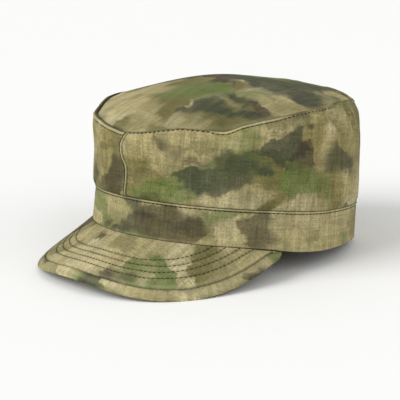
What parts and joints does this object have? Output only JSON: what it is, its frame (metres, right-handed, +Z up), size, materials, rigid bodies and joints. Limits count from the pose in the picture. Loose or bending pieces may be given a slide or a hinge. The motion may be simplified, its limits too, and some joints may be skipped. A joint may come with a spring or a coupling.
{
  "type": "patrol cap",
  "caption": "Soft patrol cap with a domed oval top, upright crown, plain band and stitched peak in blotched camouflage ripstop.",
  "frame": {"origin": "middle of the bounding box's base, on the surface the cap stands on", "axes": "+Z up, the peak towards -Y, the wearer's left towards +X; the cap stands on the rim of its peak and the back of its band"},
  "size_m": [0.19, 0.2534, 0.1247],
  "materials": {
    "crown_cloth": "matt cotton blend ripstop, soft blotches",
    "band_cloth": "matt cotton blend ripstop, soft blotches",
    "peak_cloth": "matt cotton blend ripstop, soft blotches, rows of stitching"
  },
  "bodies": {
    "root": {"band": "band_cloth", "crown_side_left": "crown_cloth", "crown_side_right": "crown_cloth", "crown_top": "crown_cloth", "peak_top": "peak_cloth", "peak_under": "peak_cloth"}
  },
  "joints": []
}
